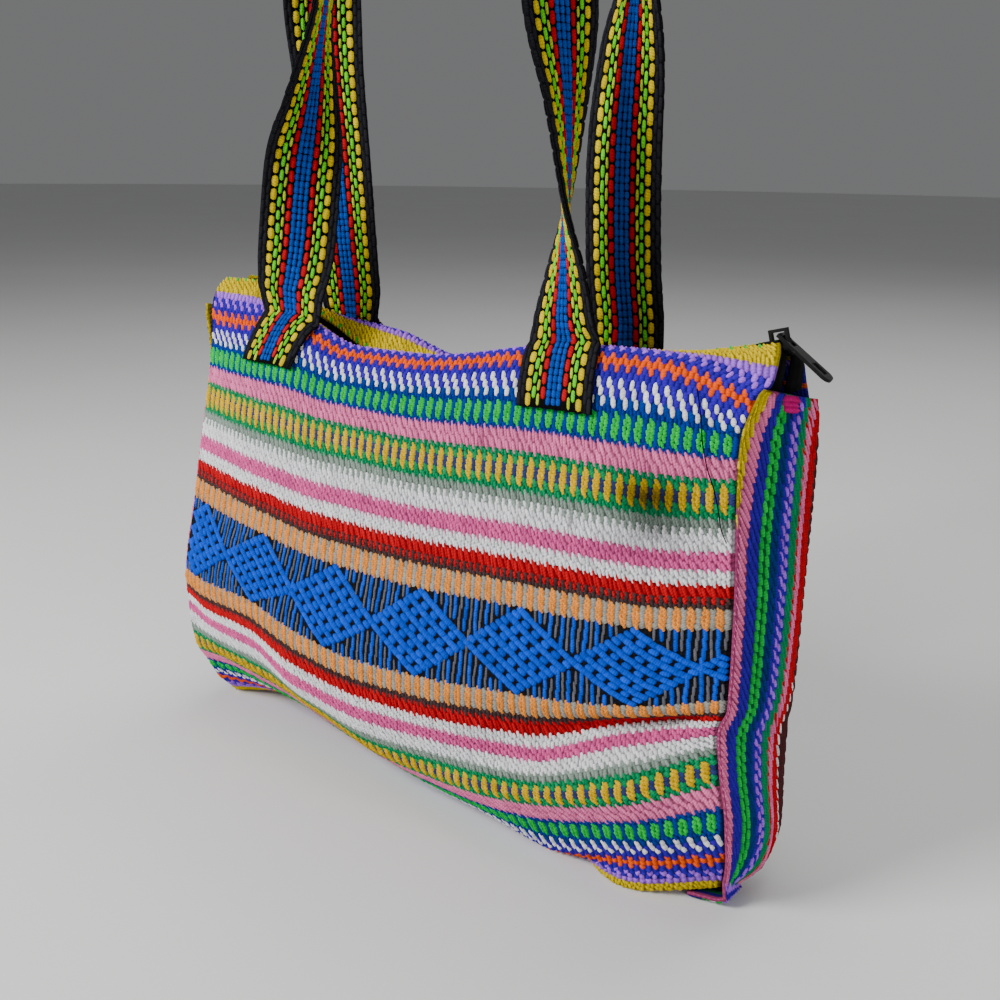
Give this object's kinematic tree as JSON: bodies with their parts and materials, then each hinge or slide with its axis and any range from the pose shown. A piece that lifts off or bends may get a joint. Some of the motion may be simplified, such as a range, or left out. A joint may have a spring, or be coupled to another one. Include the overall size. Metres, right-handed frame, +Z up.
{
  "type": "woven shoulder bag",
  "caption": "Handwoven striped cloth shoulder bag with soft gusseted ends, woven strap loops sewn to the outside of the panels and a closed zip with a swinging pull.",
  "frame": {"origin": "underside of the strap arch at its top, where a shoulder or hook carries the bag", "axes": "+X along the bag towards the zip slider, -Y out of the front panel, +Z up"},
  "size_m": [0.3585, 0.1155, 0.4767],
  "materials": {
    "body_weave": "coarse striped cotton weave",
    "gusset_weave": "coarse striped cotton weave",
    "strap_weave": "thick striped webbing",
    "zip_tape": "matt black tape",
    "zip_coil": "matt black",
    "zip_metal": "worn black"
  },
  "bodies": {
    "bag": {"body_cloth": "body_weave", "gusset_left": "gusset_weave", "gusset_right": "gusset_weave", "strap_front": "strap_weave", "strap_back": "strap_weave", "zip_tape_front": "zip_tape", "zip_tape_back": "zip_tape", "zip_coil": "zip_coil", "zip_slider": "zip_metal"},
    "pull": {"zip_pull": "zip_metal"}
  },
  "joints": [
    {"name": "zip_pull_hinge", "type": "hinge", "parent": "bag", "child": "pull", "pos_m": [0.16799, 0.003, -0.22622], "axis": [0, -1, 0], "range_deg": [0, 200]}
  ]
}
